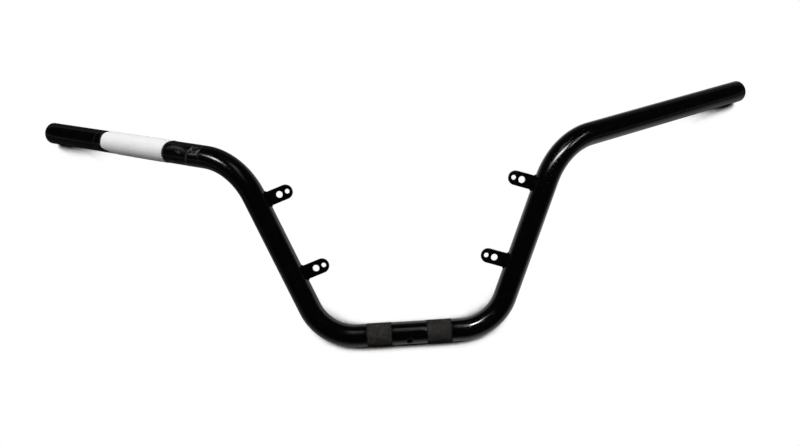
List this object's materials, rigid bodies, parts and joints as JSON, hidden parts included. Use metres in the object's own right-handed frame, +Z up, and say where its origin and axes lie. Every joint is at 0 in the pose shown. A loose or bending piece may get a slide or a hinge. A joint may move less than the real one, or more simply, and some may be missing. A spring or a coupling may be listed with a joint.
{
  "type": "quad bike handlebar",
  "caption": "Bent steel handlebar tube with roughened clamp bands, raised legs, swept grips and welded strip tabs, lying at rest, with a blank paper slip taped to one grip.",
  "frame": {"origin": "on the surface it lies on, under the middle of the bar's box", "axes": "+X along the clamp section to the right, +Y from the clamp section towards the grips, +Z up"},
  "size_m": [0.7484, 0.2608, 0.0901],
  "materials": {
    "black_paint": "gloss black paint",
    "paper": "matt white paper",
    "clear_tape": "clear gloss film"
  },
  "bodies": {
    "root": {"handlebar_tube": "black_paint", "lower_left_tab": "black_paint", "lower_left_weld": "black_paint", "lower_right_tab": "black_paint", "lower_right_weld": "black_paint", "upper_left_tab": "black_paint", "upper_left_weld": "black_paint", "upper_right_tab": "black_paint", "upper_right_weld": "black_paint", "paper_label": "paper", "outboard_tape": "clear_tape", "inboard_tape": "clear_tape"}
  },
  "joints": []
}
